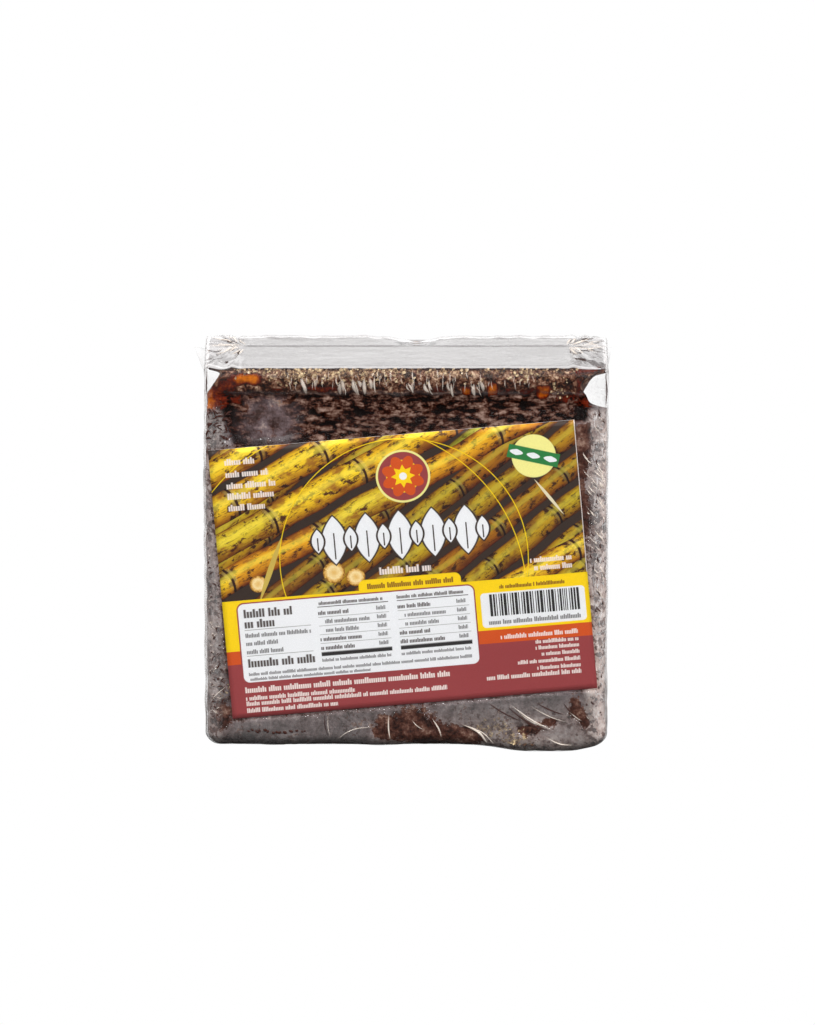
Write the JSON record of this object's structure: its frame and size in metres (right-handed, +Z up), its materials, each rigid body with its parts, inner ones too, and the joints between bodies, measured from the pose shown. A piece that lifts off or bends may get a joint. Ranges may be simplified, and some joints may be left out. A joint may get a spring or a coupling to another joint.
{
  "type": "film-wrapped panela block",
  "caption": "Square cake of dark unrefined cane sugar, standing on a narrow side with a printed paper label in front, under one tight wrap of clear shrink film.",
  "frame": {"origin": "middle of the pack's outline in plan, on the surface it stands on", "axes": "+Z up, the labelled front faces -Y, +X to the right as the label is looked at"},
  "size_m": [0.1064, 0.0354, 0.1017],
  "materials": {
    "sugar_under_film": "dark red-brown panela, mottled grey where the clear glossy film stands off it",
    "printed_paper": "semi-gloss paper printed in yellow, olive, orange and maroon with off-white panels",
    "clear_film": "thin clear shrink film, glossy, drawn into fine creases and end folds",
    "sugar": "cast unrefined cane sugar, dark red-brown, glassy in places, with tan grains"
  },
  "bodies": {
    "root": {"wrapped_block": "sugar_under_film", "label": "printed_paper"}
  },
  "joints": []
}
